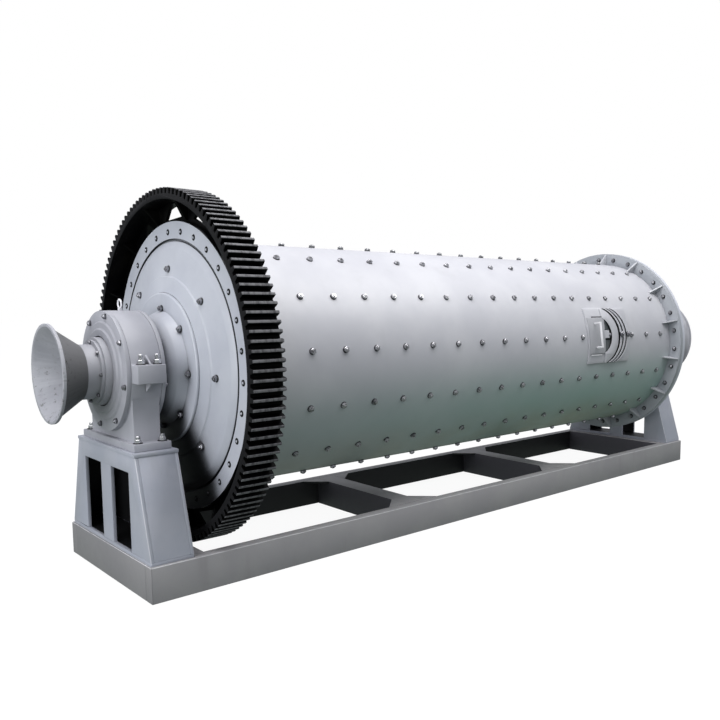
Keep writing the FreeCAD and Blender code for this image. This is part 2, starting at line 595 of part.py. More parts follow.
def girth_gear():
    """A ring gear on its middle plate, which is bolted between head and shell flange."""
    teeth, module = int(value_of("dims.gear_teeth")), value_of("dims.gear_module")
    tip, root = value_of(GEAR_TIP), value_of(GEAR_ROOT)
    inside = value_of(GEAR_INSIDE)
    middle = -value_of(SHELL_HALF)
    plate_end = -value_of(GEAR_MIDDLE)
    start = plate_end - value_of("dims.gear_overhang")
    face = value_of("dims.gear_face")
    pitch_radius = teeth * module / 2

    def spot(radius, angle):
        """A point at a radius, with its angle measured from the top."""
        return Vector(start, -radius * math.sin(angle), radius * math.cos(angle))

    pitch = 2 * math.pi / teeth
    at_root, at_pitch, at_tip = [value_of(f"dims.{name}") * pitch / 2
                                 for name in ("tooth_root", "tooth_middle", "tooth_tip")]
    edges = []
    for number in range(teeth):
        here = number * pitch
        left = [spot(root, here - at_root), spot(pitch_radius, here - at_pitch),
                spot(tip, here - at_tip)]
        right = [spot(tip, here + at_tip), spot(pitch_radius, here + at_pitch),
                 spot(root, here + at_root)]
        bottom = [spot(root, here + pitch / 2), spot(root, here + pitch - at_root)]
        edges.append(Part.Arc(*left).toShape())
        edges.append(Part.LineSegment(left[2], right[0]).toShape())
        edges.append(Part.Arc(*right).toShape())
        edges.append(Part.Arc(right[2], *bottom).toShape())
    outline = Part.Face(Part.Wire(edges))
    rim = outline.extrude(Vector(face, 0, 0))
    along = Vector(1, 0, 0)
    rim = rim.cut(Part.makeCylinder(inside, 2 * face, Vector(start - face / 2, 0, 0), along))
    thick, bite = value_of("dims.gear_plate"), value_of("dims.gear_bite")
    web = Part.makeCylinder(inside + bite, thick, Vector(plate_end, 0, 0), along)
    web = web.cut(Part.makeCylinder(value_of("dims.shell_bore / 2"), 3 * thick,
                                    Vector(plate_end - thick, 0, 0), along))
    count = int(value_of("dims.gear_arms"))
    low = value_of(f"{FLANGE_OUT} + dims.gear_lip")
    high = inside - value_of("dims.gear_fillet")
    foot = value_of(f"{FLANGE_OUT} + dims.gear_plate / 2")
    reach = value_of("dims.gear_rib_reach")
    arm = 2 * math.pi / count
    rib_thick = value_of("dims.gear_rib")
    turn = math.radians(value_of("dims.drum_turn"))
    wide, narrow = [value_of(f"dims.{name}") * arm / 2 for name in ("window_foot", "window_top")]
    windows, ribs = [], []
    for number in range(count):
        middle_angle = turn + (number + 0.5) * arm
        corners = [spot(low, middle_angle - wide), spot(low, middle_angle + wide),
                   spot(high, middle_angle + narrow), spot(high, middle_angle - narrow)]
        window = Part.Face(Part.makePolygon(corners + corners[:1]))
        window.translate(Vector(plate_end - thick - start, 0, 0))
        windows.append(window.extrude(Vector(3 * thick, 0, 0)))
        corners = [Vector(plate_end, 0, foot), Vector(plate_end, 0, inside + bite),
                   Vector(plate_end - reach, 0, inside + bite),
                   Vector(plate_end - rib_thick / 2, 0, foot)]
        rib = Part.Face(Part.makePolygon(corners + corners[:1]))
        rib.translate(Vector(0, -rib_thick / 2, 0))
        rib = rib.extrude(Vector(0, rib_thick, 0))
        rib.rotate(Vector(), along, math.degrees(turn + number * arm))
        ribs.append(rib)
    web = web.cut(windows)
    gear = rim.fuse([web] + ribs)
    feature = doc.addObject("Part::Feature", "girth_gear")
    feature.Shape = gear.removeSplitter()
    on_drum(feature)


# ------------------------------------------------------------------- manhole

def on_manhole(thing):
    """A sub-part of the manhole, modelled at the top of the drum and turned to its place."""
    turn = value_of("dims.manhole_turn")
    return keep(thing, turn=turn, x="dims.manhole_place", z="dims.axis_height")


def manhole():
    """A curved plate with a flat band, curved bars, a door and a handle."""
    length, width = "dims.manhole_length", "dims.manhole_width"
    tube = ring("manhole_tube", MANHOLE_OUT, SHELL_OUT, f"-{length} / 2", length)
    window = block("manhole_area", length, width, MANHOLE_OUT, f"-{length} / 2",
                   f"-{width} / 2", "0")
    hole = disc("manhole_opening", "dims.ring_hole", "-dims.hole_back")
    on_manhole(cut("manhole_plate", overlap("manhole_curved", tube, window), [hole]))
    seat = round_bar("manhole_seat", MANHOLE_OUT, f"2 * {length}", f"-{length}")
    on_manhole(cut("manhole_ring", manhole_band(), [seat]))
    slab = block("manhole_slab", "dims.door_length", "dims.door_width", f"2 * {MANHOLE_OUT}",
                 "-dims.door_back - dims.door_length", "-dims.door_width / 2", "0")
    door = overlap("manhole_door_blank", slab, layer("manhole_door", "dims.door_height"))
    on_manhole(cut("manhole_door", door, [seat]))
    on_manhole(manhole_handle())


def disc(name, radius, x):
    """An upright cylinder through the drum's wall, its middle at x."""
    result = doc.addObject("Part::Cylinder", name)
    bind(result, Radius=radius, Height=f"2 * {MANHOLE_OUT}")
    return at(result, x)


def layer(name, height):
    """Everything inside a drum that reaches a height over the manhole plate."""
    return round_bar(f"{name}_layer", f"({MANHOLE_OUT} + {height})", "2 * dims.manhole_length",
                     "-dims.manhole_length")


def manhole_band():
    """A flat band round half of the manhole, and the curved bars beside it."""
    step = "(dims.bar_gap + dims.bar_width)"
    band = cut("manhole_band", disc("manhole_band_disc", "dims.ring_radius", "-dims.ring_back"),
               [disc("manhole_band_hole", "dims.ring_hole", "-dims.hole_back")])
    pieces = [overlap("manhole_low_band", band, layer("manhole_band", "dims.ring_height"))]
    for number in range(int(value_of("dims.bars"))):
        name = f"manhole_bar_{number + 1}"
        start = f"-dims.ring_back + {number} * {step} + dims.bar_gap"
        bar = cut(name, disc(f"{name}_outside", "dims.ring_radius", f"{start} + dims.bar_width"),
                  [disc(f"{name}_inside", "dims.ring_radius", start)])
        pieces.append(overlap(f"{name}_low", bar, layer(name, "dims.bar_height")))
    beside = block("manhole_beside", "dims.manhole_length", "dims.manhole_width",
                   f"2 * {MANHOLE_OUT}", "-dims.door_back", "-dims.manhole_width / 2", "0")
    return overlap("manhole_half", join("manhole_rings", pieces), beside)


def manhole_handle():
    """A bar bent square at both ends."""
    bar = "dims.handle_bar"
    floor = f"({MANHOLE_OUT} + dims.door_height)"
    place, rise = "-dims.handle_back", "dims.handle_rise"
    outside = block("handle_outside", bar, "dims.handle_length", f"2 * {rise}",
                    place, "-dims.handle_length / 2", f"{floor} - {rise}")
    inside = block("handle_inside", bar, f"(dims.handle_length - 2 * {bar})",
                   f"2 * {rise} - {bar}", place, f"-dims.handle_length / 2 + {bar}",
                   f"{floor} - {rise}")
    under = layer("manhole_handle", "dims.door_height")
    return cut("manhole_handle", outside, [inside, under])


# --------------------------------------------------------------------- build

base_frame()
lifting_eyes()
shell()
girth_gear()
manhole()
for end, sign in (("feed", -1), ("discharge", 1)):
    seat = GEAR_MIDDLE if end == "feed" else SHELL_HALF
    pedestal(end, sign)
    bearing(end, sign)
    head(end, sign, seat)
    trunnion(end, sign, seat)
    funnel(end, sign, f"dims.{end}_mouth", f"dims.{end}_cone")
doc.recompute()

failed = [thing.Name for thing in doc.Objects
          if "Invalid" in thing.State or "Error" in thing.State]
if failed:
    raise RuntimeError(f"objects that did not build: {failed}")
for part in parts:
    if part.Shape.isNull() or not part.Shape.isValid() or not part.Shape.Solids:
        raise RuntimeError(f"{part.Label} is not a valid solid")

os.makedirs("parts", exist_ok=True)
for part in parts:
    part.Shape.exportStep(f"parts/{part.Label}.step")
print(f"wrote {len(parts)} sub-parts")
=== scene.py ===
import json
import math

import bpy
from mathutils import Matrix, Vector


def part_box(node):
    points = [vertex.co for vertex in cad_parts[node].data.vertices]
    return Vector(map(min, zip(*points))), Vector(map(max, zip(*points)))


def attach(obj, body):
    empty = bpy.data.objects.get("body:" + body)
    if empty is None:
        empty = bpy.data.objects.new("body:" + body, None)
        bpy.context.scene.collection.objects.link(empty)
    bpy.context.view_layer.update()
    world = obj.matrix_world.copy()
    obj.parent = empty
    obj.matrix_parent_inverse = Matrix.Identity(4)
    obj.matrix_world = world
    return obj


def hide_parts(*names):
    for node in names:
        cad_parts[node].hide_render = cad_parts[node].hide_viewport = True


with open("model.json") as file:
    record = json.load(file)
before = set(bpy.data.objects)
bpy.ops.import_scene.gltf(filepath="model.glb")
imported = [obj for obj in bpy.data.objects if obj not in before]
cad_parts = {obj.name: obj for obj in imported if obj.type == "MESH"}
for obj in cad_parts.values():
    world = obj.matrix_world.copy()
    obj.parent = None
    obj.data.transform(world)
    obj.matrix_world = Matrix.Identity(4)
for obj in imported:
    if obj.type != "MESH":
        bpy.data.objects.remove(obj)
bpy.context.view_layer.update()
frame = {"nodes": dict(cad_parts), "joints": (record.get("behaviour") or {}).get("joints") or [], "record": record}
nodes = frame["nodes"]
axisHeight = frame["joints"][0]["pos_m"][2]
bodyOf = {node: body for body, members in frame["record"]["behaviour"]["bodies"].items()
          for node in members}
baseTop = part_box("side_beam_near")[1].z
print("frame loaded:", len(nodes), "pieces")


# ways of working that every piece uses

def alone(piece):
    bpy.ops.object.select_all(action="DESELECT")
    piece.select_set(True)
    bpy.context.view_layer.objects.active = piece


def newest(name):
    # the primitive just added, with its place moved into its mesh
    piece = bpy.context.object
    piece.name = piece.data.name = name
    bpy.ops.object.transform_apply(location=True, rotation=True, scale=True)
    return piece


def addCylinder(name, radius, depth, low=0, sides=12):
    bpy.ops.object.select_all(action="DESELECT")
    bpy.ops.mesh.primitive_cylinder_add(vertices=sides, radius=radius, depth=depth,
                                        location=(0, 0, low + depth / 2))
    return newest(name)


def addBlock(name, low, high):
    bpy.ops.object.select_all(action="DESELECT")
    low, high = Vector(low), Vector(high)
    bpy.ops.mesh.primitive_cube_add(size=1, location=(low + high) / 2)
    bpy.context.object.scale = high - low
    return newest(name)


def pick(piece, wanted, kind="FACE"):
    # edit mode, with the faces, edges or points that pass the test selected
    alone(piece)
    bpy.ops.object.mode_set(mode="EDIT")
    bpy.ops.mesh.select_mode(type=kind)
    bpy.ops.mesh.select_all(action="DESELECT")
    bpy.ops.object.mode_set(mode="OBJECT")
    items = {"FACE": piece.data.polygons, "EDGE": piece.data.edges,
             "VERT": piece.data.vertices}[kind]
    for item in items:
        item.select = wanted(item)
    bpy.ops.object.mode_set(mode="EDIT")


def leave():
    bpy.ops.object.mode_set(mode="OBJECT")


def joined(pieces):
    alone(pieces[0])
    for piece in pieces[1:]:
        piece.select_set(True)
    bpy.ops.object.join()
    return pieces[0]


def settle(piece, place):
    # puts a piece in its place and keeps the place in its mesh
    piece.matrix_world = place
    alone(piece)
    bpy.ops.object.transform_apply(location=True, rotation=True, scale=True)
    return piece


def twin(piece, name, place):
    # a copy with a mesh of its own, moved from where the first one is
    alone(piece)
    bpy.ops.object.duplicate()
    copy = bpy.context.object
    copy.name = copy.data.name = name
    return settle(copy, place)


def bevelled(piece, width, segments=2):
    alone(piece)
    bevel = piece.modifiers.new("bevel", "BEVEL")
    bevel.width, bevel.segments = width, segments
    bevel.limit_method, bevel.angle_limit = "ANGLE", math.radians(30)
    bevel.miter_outer = "MITER_ARC"
    bpy.ops.object.modifier_apply(modifier="bevel")
    return piece


def smooth(piece):
    alone(piece)
    bpy.ops.object.shade_smooth_by_angle(angle=math.radians(32))


def onDrum(degrees, radius, x, facing):
    # a place on the drum: degrees from the top towards the near side
    tilt = {"out": 0, "feed": -90, "discharge": 90}[facing]
    return (Matrix.Translation((0, 0, axisHeight)) @ Matrix.Rotation(math.radians(degrees), 4, "X")
            @ Matrix.Translation((x, 0, radius)) @ Matrix.Rotation(math.radians(tilt), 4, "Y"))


def row(piece, count, step):
    alone(piece)
    repeat = piece.modifiers.new("row", "ARRAY")
    repeat.count, repeat.use_relative_offset, repeat.use_constant_offset = count, False, True
    repeat.constant_offset_displace = step
    bpy.ops.object.modifier_apply(modifier="row")
    return piece


def around(piece, count):
    # copies of a piece, evenly round the drum's axis
    pick(piece, lambda face: True)
    bpy.ops.mesh.spin(steps=count - 1, dupli=True, angle=math.tau * (count - 1) / count,
                      center=(0, 0, axisHeight), axis=(1, 0, 0))
    leave()
    return piece


def finish(piece, body, material):
    # a nut brings its own two materials, so it is given none here
    if material:
        piece.data.materials.clear()
        piece.data.materials.append(material)
    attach(piece, body)
    return piece


# shader maths

class Value:
    def __init__(self, recipe, socket):
        self.recipe, self.socket = recipe, socket

    def math(self, operation, first, second):
        return self.recipe.add("ShaderNodeMath", {"operation": operation}, {0: first, 1: second})

    def __add__(self, other):
        return self.math("ADD", self, other)

    def __sub__(self, other):
        return self.math("SUBTRACT", self, other)

    def __rsub__(self, other):
        return self.math("SUBTRACT", other, self)

    def __mul__(self, other):
        return self.math("MULTIPLY", self, other)

    def __pow__(self, other):
        return self.math("POWER", self, other)

    __radd__, __rmul__ = __add__, __mul__


class Recipe:
    def __init__(self, name):
        self.material = bpy.data.materials.new(name)
        self.material.use_nodes = True
        self.tree = self.material.node_tree
        self.tree.nodes.clear()
        self.place = self.add("ShaderNodeTexCoord", output="Object")
        apart = self.tree.nodes.new("ShaderNodeSeparateXYZ")
        self.tree.links.new(self.place.socket, apart.inputs[0])
        self.x, self.y, self.z = [Value(self, socket) for socket in apart.outputs]

    def add(self, kind, settings=None, inputs=None, output=0):
        node = self.tree.nodes.new(kind)
        for name, value in (settings or {}).items():
            setattr(node, name, value)
        for name, value in (inputs or {}).items():
            if isinstance(value, Value):
                self.tree.links.new(value.socket, node.inputs[name])
            else:
                node.inputs[name].default_value = value
        return Value(self, node.outputs[output])

    def noise(self, scale, detail=3, stretch=(1, 1, 1), rough=0.55):
        place = self.add("ShaderNodeMapping", {}, {"Vector": self.place, "Scale": stretch})
        return self.add("ShaderNodeTexNoise", {}, {"Vector": place, "Scale": scale,
                                                   "Detail": detail, "Roughness": rough})

    def step(self, value, start, end):
        # 0 below start, 1 above end, smooth between
        return self.add("ShaderNodeMapRange", {"interpolation_type": "SMOOTHSTEP"},
                        {"Value": value, "From Min": start, "From Max": end})

    def mix(self, factor, first, second):
        first = (*first, 1) if isinstance(first, tuple) else first
        second = (*second, 1) if isinstance(second, tuple) else second
        return self.add("ShaderNodeMix", {"data_type": "RGBA"},
                        {0: factor, 6: first, 7: second}, output=2)

    def bump(self, height, strength, distance):
        return self.add("ShaderNodeBump", {}, {"Height": height, "Strength": strength,
                                               "Distance": distance})

    def absolute(self, value):
        return self.add("ShaderNodeMath", {"operation": "ABSOLUTE"}, {0: value})

    def between(self, value, low, high):
        return self.add("ShaderNodeMapRange", {}, {"Value": value, "To Min": low, "To Max": high})

    def fromAxis(self):
        # distance from the drum's axis
        return (self.y ** 2 + (self.z - axisHeight) ** 2) ** 0.5

    def hollow(self, reach, start, end):
        # painted shade from ambient occlusion: 0 deep between pieces, 1 in the open
        light = self.add("ShaderNodeAmbientOcclusion", {"samples": 16}, {"Distance": reach}, output=1)
        return self.step(light, start, end)

    def shade(self, constants=None, **links):
        inputs = {name.replace("_", " "): value for name, value in links.items()}
        surface = self.add("ShaderNodeBsdfPrincipled", {}, {**(constants or {}), **inputs})
        end = self.tree.nodes.new("ShaderNodeOutputMaterial")
        self.tree.links.new(surface.socket, end.inputs["Surface"])
        return self.material


def paint(name, look, extra=None):
    # sprayed paint on steel: soft patches, fine dirt, faint runs and a slight orange peel, with painted shade
    # where pieces crowd together if the look asks for it
    recipe = Recipe(name)
    patches = recipe.step(recipe.noise(look["patchScale"], 4), 0.35, 0.68)
    colour = recipe.mix(patches, look["colour"], look["patch"])
    runs = recipe.step(recipe.noise(7, 4, (1, 1, 0.12)), 0.56, 0.78) * look["runs"]
    colour = recipe.mix(runs, colour, look["dirt"])
    specks = recipe.step(recipe.noise(130, 2), 0.70, 0.76) * look["specks"]
    colour = recipe.mix(specks, colour, look["dirt"])
    rough = recipe.between(recipe.noise(18, 3), *look["rough"])
    if extra:
        colour, rough = extra(recipe, colour, rough)
    # painted shade: near black deep between pieces
    if "hollow" in look:
        colour = recipe.mix(recipe.hollow(*look["hollow"]), (0.004, 0.004, 0.005), colour)
    peel = recipe.bump(recipe.noise(look["peelScale"], 2), look["peel"], 0.0004)
    return recipe.shade({"Metallic": 0.0, "Specular IOR Level": look["gloss"]},
                        Base_Color=colour, Roughness=rough, Normal=peel)


drumLook = {"colour": (0.42, 0.425, 0.46), "patch": (0.47, 0.475, 0.505), "dirt": (0.23, 0.23, 0.22),
            "patchScale": 2.2, "runs": 0.08, "specks": 0.1, "rough": (0.34, 0.46),
            "peelScale": 260, "peel": 0.10, "gloss": 0.5}


def drumReflectionAndShade(recipe, colour, rough):
    # painted shade and a painted greenish reflection: the lower near side is duller and greener, more so towards
    # the discharge end
    low = recipe.step(recipe.z, axisHeight + 0.05, axisHeight - 0.45)
    far = recipe.step(recipe.x, -2.2, 0.9)
    near = recipe.step(recipe.y, 0.1, -0.2)
    cloud = recipe.step(recipe.noise(1.6, 3), 0.25, 0.7)
    bottom = recipe.step(recipe.z, axisHeight - 0.35, axisHeight - 0.68)
    reflectedGreen = recipe.mix(bottom * cloud, (0.31, 0.46, 0.42), (0.30, 0.33, 0.25))
    return recipe.mix(low * near * (far * 0.6 + 0.4) * (cloud * 0.2 + 0.8), colour, reflectedGreen), rough


drumPaint = paint("drumPaint", drumLook, drumReflectionAndShade)

headLook = {**drumLook, "colour": (0.50, 0.52, 0.575), "patch": (0.45, 0.47, 0.53),
            "patchScale": 3.1, "rough": (0.30, 0.44), "peel": 0.16, "hollow": (0.5, 0.32, 0.72)}
headPaint = paint("headPaint", headLook)
trunnionPaint = paint("trunnionPaint", {**headLook, "hollow": (0.25, 0.22, 0.66)})

housingLook = {**drumLook, "colour": (0.385, 0.39, 0.43), "patch": (0.35, 0.355, 0.395),
               "patchScale": 5, "rough": (0.40, 0.55), "peelScale": 120, "peel": 0.25,
               "hollow": (0.06, 0.15, 0.5)}
housingPaint = paint("housingPaint", housingLook)

pedestalLook = {"colour": (0.365, 0.385, 0.445), "patch": (0.41, 0.425, 0.48),
                "dirt": (0.16, 0.155, 0.15), "patchScale": 4, "runs": 0.2, "specks": 0.4,
                "rough": (0.42, 0.58), "peelScale": 180, "peel": 0.12, "gloss": 0.45,
                "wall": 0.0194, "soft": 0.0003, "overhang": 0.004, "rubbed": 0.0045,
                "light": (0.72, 0.72, 0.76), "primer": (0.003, 0.003, 0.004)}


def pedestalShadeAndHighlight(recipe, colour, rough):
    # inside the boxes is a dark primer, painted near black as shade, and the corners outside carry a painted
    # highlight
    foot, side, cap = [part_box("feed_pedestal_" + part) for part in ("foot_plate", "side_plates", "cap_plate")]
    wall, soft = pedestalLook["wall"], pedestalLook["soft"]
    middle, reach = -(foot[0].x + foot[1].x) / 2, (foot[1].x - foot[0].x) / 2 - wall
    along = recipe.absolute(recipe.x) - middle
    depth = recipe.absolute(along)
    across = recipe.absolute(recipe.y)
    lean = (side[1].y - cap[1].y + pedestalLook["overhang"]) / (side[1].z - side[0].z)
    slope = across + (recipe.z - side[0].z) * lean
    edge = side[1].y - wall
    inside = (1 - recipe.step(depth, reach, reach + soft)) * (1 - recipe.step(slope, edge, edge + soft))
    below = 1 - recipe.step(recipe.z, side[1].z + soft, side[1].z + soft * 2)
    # painted highlight along the outside corners
    rubbed = pedestalLook["rubbed"]
    corner = recipe.step(depth, reach + wall - rubbed, reach + wall - rubbed / 2)
    corner = corner * recipe.step(slope, edge + wall - rubbed, edge + wall - rubbed / 2) * below
    colour = recipe.mix(corner * 0.7, colour, pedestalLook["light"])
    # painted shade: near black inside the boxes
    return recipe.mix(inside * below, colour, pedestalLook["primer"]), rough


pedestalPaint = paint("pedestalPaint", pedestalLook, pedestalShadeAndHighlight)

baseLook = {"colour": (0.285, 0.28, 0.29), "patch": (0.315, 0.31, 0.315), "dirt": (0.12, 0.11, 0.10),
            "patchScale": 3, "runs": 0.2, "specks": 0.3, "rough": (0.48, 0.64),
            "peelScale": 150, "peel": 0.15, "gloss": 0.4, "inside": 0.5305, "ends": 2.6885,
            "edge": 0.0045, "dark": (0.014, 0.013, 0.016), "light": (0.62, 0.62, 0.64),
            "feedEnd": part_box("end_beam_feed")[0].x}


def baseShadeAndHighlight(recipe, colour, rough):
    # painted shade on the inner faces of the frame and on its feed end face, and a patchy painted highlight along
    # its top edges
    across = recipe.absolute(recipe.y)
    along = recipe.absolute(recipe.x)
    inside = 1 - recipe.step(across, baseLook["inside"], baseLook["inside"] + 0.0005)
    inside = inside * (1 - recipe.step(along, baseLook["ends"], baseLook["ends"] + 0.0005))
    low = 1 - recipe.step(recipe.z, baseTop - 0.0015, baseTop - 0.001)
    # painted shade: dark on the inner faces below the top
    colour = recipe.mix(inside * low, colour, baseLook["dark"])
    # painted highlight along the top edges, patchy
    rubbed = recipe.step(recipe.noise(22, 4), 0.3, 0.6) * 0.5 + 0.4
    edge = recipe.step(recipe.z, baseTop - baseLook["edge"], baseTop - baseLook["edge"] / 2) * (1 - inside)
    edge = edge * (1 - recipe.step(recipe.z, baseTop - 0.0010, baseTop - 0.0002))
    # painted shade: the feed end face is darker
    feedFace = 1 - recipe.step(recipe.x, baseLook["feedEnd"] + 0.006, baseLook["feedEnd"] + 0.0065)
    colour = recipe.mix(feedFace * 0.22, colour, baseLook["dark"])
    return recipe.mix(edge * rubbed, colour, baseLook["light"]), rough


basePaint = paint("basePaint", baseLook, baseShadeAndHighlight)

crossLook = {**baseLook, "dark": (0.075, 0.07, 0.085)}


def crossShade(recipe, colour, rough):
    # painted shade: only the top of a cross beam is light, the rest is dark
    low = 1 - recipe.step(recipe.z, baseTop - 0.0015, baseTop - 0.001)
    return recipe.mix(low, colour, crossLook["dark"]), rough


crossPaint = paint("crossPaint", crossLook, crossShade)

funnelLook = {"colour": (0.34, 0.345, 0.38), "patch": (0.39, 0.395, 0.43), "dirt": (0.09, 0.085, 0.075),
              "patchScale": 6, "runs": 0.25, "specks": 0.6, "rough": (0.40, 0.55),
              "peelScale": 140, "peel": 0.2, "gloss": 0.5, "start": 2.8825, "neck": 0.148,
              "lean": 0.69, "length": 0.1515}


def funnelWearAndShade(recipe, colour, rough):
    # the feed has rubbed the paint off inside the mouth; the funnel's outside is darker, and painted shade makes
    # it darker still towards the bottom
    along = recipe.x * -1 - funnelLook["start"]
    wall = recipe.fromAxis() - along * funnelLook["lean"]
    outside = recipe.step(wall, funnelLook["neck"], funnelLook["neck"] + 0.002) * recipe.step(along, 0, 0.001)
    outside = outside * (1 - recipe.step(along, funnelLook["length"], funnelLook["length"] + 0.0005))
    # painted shade: the outside is darker low down than at the top
    high = recipe.step(recipe.z, axisHeight - 0.25, axisHeight + 0.2)
    colour = recipe.mix(outside, colour, recipe.mix(high, (0.045, 0.048, 0.048), (0.16, 0.16, 0.165)))
    scuffs = recipe.step(recipe.noise(48, 5, (1, 1, 0.5), 0.65), 0.56, 0.64)
    colour = recipe.mix(scuffs * outside * recipe.step(along, 0.08, 0.12), colour, (0.02, 0.024, 0.016))
    worn = recipe.step(recipe.noise(34, 6, (0.6, 1, 1), 0.7), 0.57, 0.66)
    mouth = recipe.step(recipe.x, -2.88, -3.0)
    lower = recipe.step(recipe.z, axisHeight + 0.16, axisHeight - 0.1)
    colour = recipe.mix(worn * mouth * lower * 0.85, colour, (0.07, 0.075, 0.055))
    scratch = recipe.step(recipe.noise(60, 3, (0.1, 1, 1)), 0.62, 0.70)
    return recipe.mix(scratch * mouth * 0.35, colour, (0.12, 0.12, 0.11)), rough


funnelPaint = paint("funnelPaint", funnelLook, funnelWearAndShade)

gearLook = {"black": (0.001, 0.001, 0.0012), "rim": (0.012, 0.012, 0.013), "tip": (0.17, 0.17, 0.18),
            "grease": (0.003, 0.0029, 0.0026), "tipRadius": 1.064, "frontFace": -2.392,
            "rough": (0.30, 0.50)}


def gearPaint():
    recipe = Recipe("gearBlack")
    patches = recipe.step(recipe.noise(9, 4), 0.45, 0.7)
    colour = recipe.mix(patches, gearLook["black"], gearLook["grease"])
    radius = recipe.fromAxis()
    front = 1 - recipe.step(recipe.x, gearLook["frontFace"] + 0.0008, gearLook["frontFace"] + 0.0016)
    colour = recipe.mix(front, colour, gearLook["rim"])
    # the tooth tips are light: worn bare metal, and a painted highlight along the tips
    top = recipe.step(radius, gearLook["tipRadius"] - 0.0036, gearLook["tipRadius"] - 0.0016)
    wearAndHighlight = recipe.step(recipe.noise(25, 4, (2, 1, 1)), 0.3, 0.6) * 0.6 + 0.4
    colour = recipe.mix(top * wearAndHighlight, colour, gearLook["tip"])
    rough = recipe.between(recipe.noise(14, 3), *gearLook["rough"])
    cast = recipe.bump(recipe.noise(95, 3), 0.25, 0.0008)
    return recipe.shade({"Specular IOR Level": 0.035}, Base_Color=colour, Roughness=rough, Normal=cast)


gearBlack = gearPaint()


def steel(name, colour, dull, rough):
    recipe = Recipe(name)
    tarnish = recipe.step(recipe.noise(45, 4), 0.4, 0.7)
    shade = recipe.mix(tarnish, colour, dull)
    grain = recipe.between(recipe.noise(160, 2), rough - 0.08, rough + 0.1)
    fine = recipe.bump(recipe.noise(420, 2), 0.15, 0.0003)
    return recipe.shade({"Metallic": 0.75}, Base_Color=shade, Roughness=grain, Normal=fine)


boltSteel = steel("boltSteel", (0.30, 0.30, 0.32), (0.15, 0.15, 0.17), 0.2)
brightSteel = steel("brightSteel", (0.46, 0.46, 0.48), (0.11, 0.11, 0.12), 0.17)
lightSteel = steel("lightSteel", (0.62, 0.62, 0.64), (0.36, 0.36, 0.38), 0.25)
# near black washers: painted shade under the nuts
darkSteel = steel("darkSteel", (0.035, 0.035, 0.04), (0.02, 0.02, 0.02), 0.4)


# near black standing in for the shade in gaps and counterbores
def darkGap():
    recipe = Recipe("darkGap")
    colour = recipe.mix(recipe.noise(60, 2), (0.006, 0.006, 0.007), (0.02, 0.02, 0.02))
    return recipe.shade({"Specular IOR Level": 0.2, "Roughness": 0.8}, Base_Color=colour)


gapShadeBlack = darkGap()
print("materials made:", len(bpy.data.materials))


# castings and plates with softened edges, each standing for its CAD piece

manhole = {"turn": 81.6, "hole": 1.073, "holeRadius": 0.155, "floor": 0.7665, "band": 1.085,
           "lastBar": 1.232, "radius": 0.240, "gapTop": 0.7885, "bandTop": 0.7835, "edge": 0.2304}


def manholeShadeAndHighlight(recipe, colour, rough):
    # painted shade, black in the gaps between the bars, on the wall of the hole and under the plate's lower edge;
    # a painted highlight on its upper edge
    turn = math.radians(manhole["turn"])
    across = recipe.y * -math.cos(turn) - (recipe.z - axisHeight) * math.sin(turn)

    def beyond(place, radius):
        return recipe.step(((recipe.x - place) ** 2 + across ** 2) ** 0.5, radius - 0.0004, radius + 0.0004)

    height = recipe.fromAxis()
    bars = beyond(manhole["band"], manhole["radius"] - 0.001) * (1 - beyond(manhole["lastBar"],
                                                                            manhole["radius"] - 0.002))
    deep = bars * (1 - recipe.step(height, manhole["gapTop"], manhole["gapTop"] + 0.0006))
    wall = 1 - beyond(manhole["hole"], manhole["holeRadius"] + 0.001)
    wall = wall * (1 - recipe.step(height, manhole["bandTop"], manhole["bandTop"] + 0.0006))
    under = recipe.step(across, manhole["edge"], manhole["edge"] + 0.0005)
    # painted highlight along the plate's upper edge
    top = recipe.step(across, -manhole["edge"], -manhole["edge"] - 0.0005)
    colour = recipe.mix(top, colour, (0.85, 0.85, 0.88))
    # painted shade: black in the gaps, on the hole's wall and under the lower edge
    black = recipe.add("ShaderNodeMath", {"operation": "MAXIMUM"}, {0: deep, 1: wall})
    black = recipe.add("ShaderNodeMath", {"operation": "MAXIMUM"}, {0: black, 1: under})
    return recipe.mix(black, colour, (0.006, 0.007, 0.008)), rough


manholePaint = paint("manholePaint", drumLook, manholeShadeAndHighlight)
handleLook = {**drumLook, "colour": (0.80, 0.80, 0.83), "patch": (0.70, 0.70, 0.73)}
handlePaint = paint("handlePaint", handleLook)
# painted shade: the shell flanges are darker than the drum
flangeShadeLook = {**drumLook, "colour": (0.29, 0.31, 0.34), "patch": (0.33, 0.345, 0.375)}
flangePaint = paint("flangePaint", flangeShadeLook)
ribLook = {**drumLook, "colour": (0.40, 0.41, 0.44), "patch": (0.44, 0.45, 0.48)}
ribPaint = paint("ribPaint", ribLook)
doorLook = {**drumLook, "colour": (0.32, 0.325, 0.35), "patch": (0.36, 0.365, 0.39)}
doorPaint = paint("doorPaint", doorLook)
# near black: painted shade on the floor of the manhole's recess
recessShadeLook = {**drumLook, "colour": (0.055, 0.065, 0.07), "patch": (0.08, 0.09, 0.095)}
floorPaint = paint("floorPaint", recessShadeLook)


